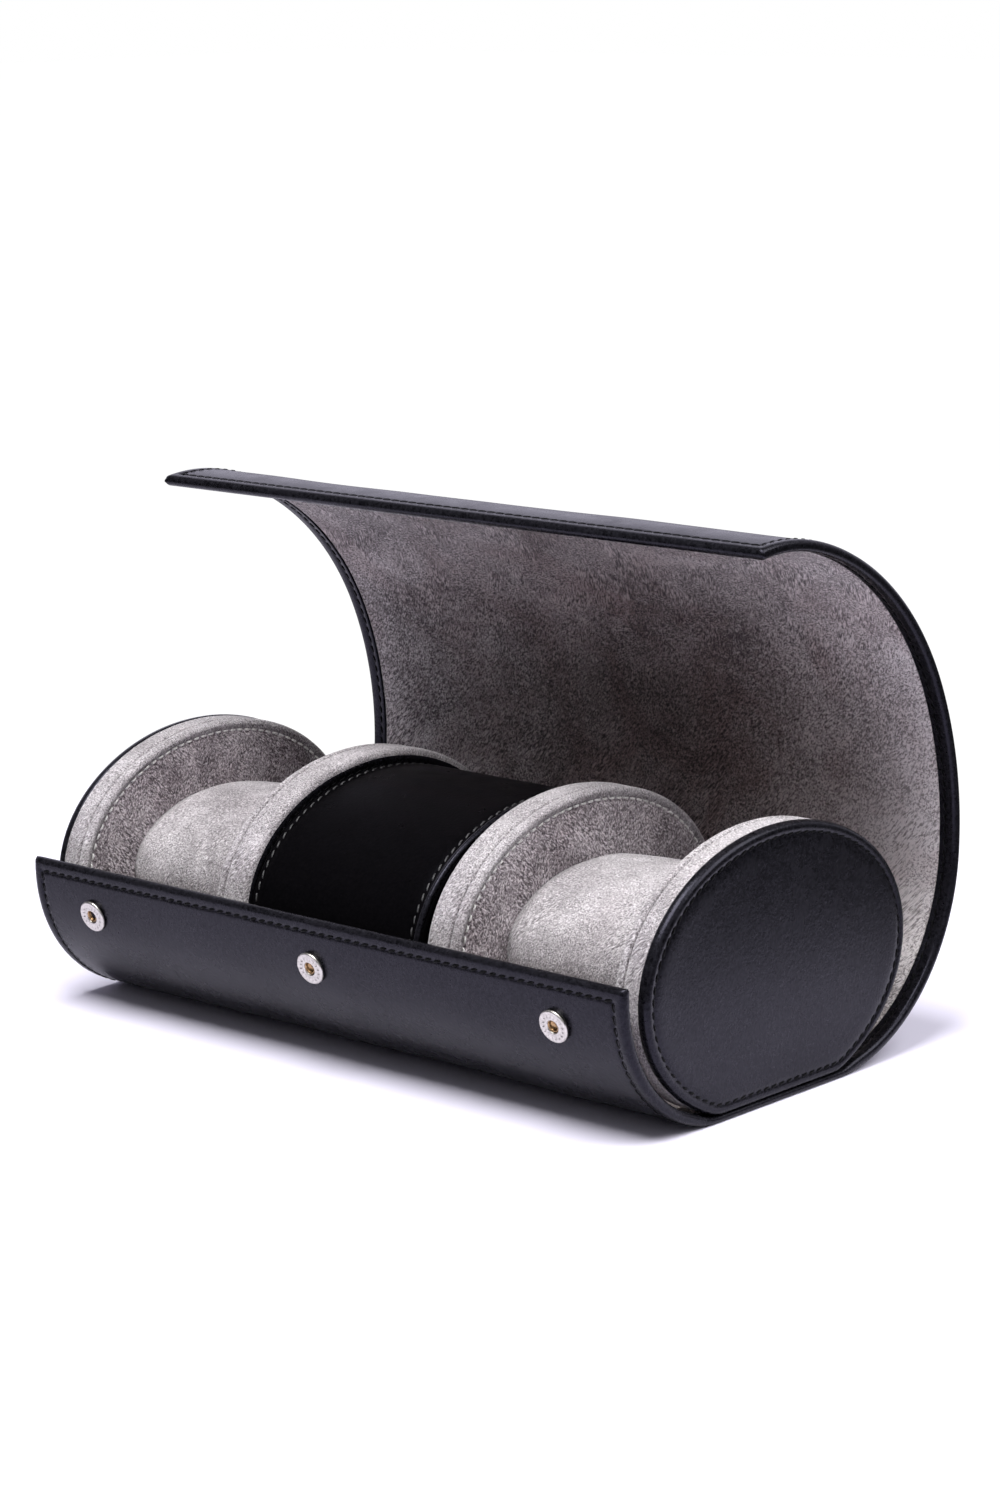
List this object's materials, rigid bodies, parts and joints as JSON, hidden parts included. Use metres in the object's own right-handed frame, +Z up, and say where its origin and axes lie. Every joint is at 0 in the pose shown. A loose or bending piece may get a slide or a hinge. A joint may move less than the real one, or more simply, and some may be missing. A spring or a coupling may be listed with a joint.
{
  "type": "watch roll",
  "caption": "Leather watch roll with a suede lined wrap lid, press stud flap, removable padded watch spools and a leather covered drum between them, shown open.",
  "frame": {"origin": "centre of the underside of the base, on the surface it rests on", "axes": "+X along the roll to its right end, +Y to the rear where the lid starts, -Y to the press stud flap, +Z up"},
  "size_m": [0.2184, 0.1416, 0.1458],
  "materials": {
    "black_leather": "smooth satin black, fine grain",
    "grey_suede": "napped grey suede, matte",
    "grey_board": "grey board, matte",
    "foam": "open cell foam, matte",
    "nickel": "polished nickel",
    "brass": "plain brass"
  },
  "bodies": {
    "base": {"base_board": "grey_board", "base_leather": "black_leather", "base_lining": "grey_suede", "drum_cover": "black_leather", "drum_left_board": "grey_board", "drum_left_facing": "black_leather", "drum_right_board": "grey_board", "drum_right_facing": "black_leather", "drum_tube": "grey_board"},
    "front_flap": {"flap_board": "grey_board", "flap_leather": "black_leather", "flap_lining": "grey_suede", "snap_eyelets": "brass", "snap_sockets": "nickel"},
    "lid_heel": {"lid_heel_board": "grey_board", "lid_heel_leather": "black_leather", "lid_heel_lining": "grey_suede"},
    "lid_back": {"lid_back_board": "grey_board", "lid_back_leather": "black_leather", "lid_back_lining": "grey_suede"},
    "lid_shoulder": {"lid_shoulder_board": "grey_board", "lid_shoulder_leather": "black_leather", "lid_shoulder_lining": "grey_suede"},
    "lid_top": {"lid_top_board": "grey_board", "lid_top_leather": "black_leather", "lid_top_lining": "grey_suede"},
    "lid_front": {"lid_front_board": "grey_board", "lid_front_leather": "black_leather", "lid_front_lining": "grey_suede", "snap_posts": "nickel", "snap_studs": "nickel"},
    "left_spool": {"left_end_board": "grey_board", "left_end_facing": "black_leather", "left_end_lining": "grey_suede", "left_end_rim": "grey_suede", "left_hub_cover": "grey_suede", "left_hub_foam": "foam", "left_hub_tube": "grey_board", "left_inner_board": "grey_board", "left_inner_facing": "black_leather", "left_inner_lining": "grey_suede", "left_inner_rim": "grey_suede"},
    "right_spool": {"right_end_board": "grey_board", "right_end_facing": "black_leather", "right_end_lining": "grey_suede", "right_end_rim": "grey_suede", "right_hub_cover": "grey_suede", "right_hub_foam": "foam", "right_hub_tube": "grey_board", "right_inner_board": "grey_board", "right_inner_facing": "black_leather", "right_inner_lining": "grey_suede", "right_inner_rim": "grey_suede"}
  },
  "joints": [
    {"name": "lid_hinge", "type": "hinge", "parent": "base", "child": "lid_heel", "pos_m": [0, 0.02826, 0], "axis": [1, 0, 0], "range_deg": [-4, 12.4]},
    {"name": "lid_back_bend", "type": "hinge", "parent": "lid_heel", "child": "lid_back", "pos_m": [0, 0.06326, 0.01647], "axis": [1, 0, 0], "range_deg": [-9.02, 27.85]},
    {"name": "lid_shoulder_bend", "type": "hinge", "parent": "lid_back", "child": "lid_shoulder", "pos_m": [0, 0.07858, 0.0512], "axis": [1, 0, 0], "range_deg": [-5.95, 18.35]},
    {"name": "lid_top_bend", "type": "hinge", "parent": "lid_shoulder", "child": "lid_top", "pos_m": [0, 0.07001, 0.09881], "axis": [1, 0, 0], "range_deg": [-1.47, 4.45]},
    {"name": "lid_front_bend", "type": "hinge", "parent": "lid_top", "child": "lid_front", "pos_m": [0, 0.0175, 0.14374], "axis": [1, 0, 0], "range_deg": [-9.08, 28.05]},
    {"name": "flap_hinge", "type": "hinge", "parent": "base", "child": "front_flap", "pos_m": [0, -0.02826, 0], "axis": [-1, 0, 0], "range_deg": [-2.28, 6.95]},
    {"name": "left_spool_slide", "type": "slide", "parent": "base", "child": "left_spool", "axis": [-1, 0, 0], "range_m": [0, 0.08]},
    {"name": "right_spool_slide", "type": "slide", "parent": "base", "child": "right_spool", "axis": [1, 0, 0], "range_m": [0, 0.08]}
  ],
  "couplings": [
    {"joint": "lid_back_bend", "follows": "lid_hinge", "ratio": 2.2419},
    {"joint": "lid_shoulder_bend", "follows": "lid_hinge", "ratio": 1.4758},
    {"joint": "lid_top_bend", "follows": "lid_hinge", "ratio": 0.35484},
    {"joint": "lid_front_bend", "follows": "lid_hinge", "ratio": 2.2581},
    {"joint": "flap_hinge", "follows": "lid_hinge", "ratio": 0.55645}
  ]
}
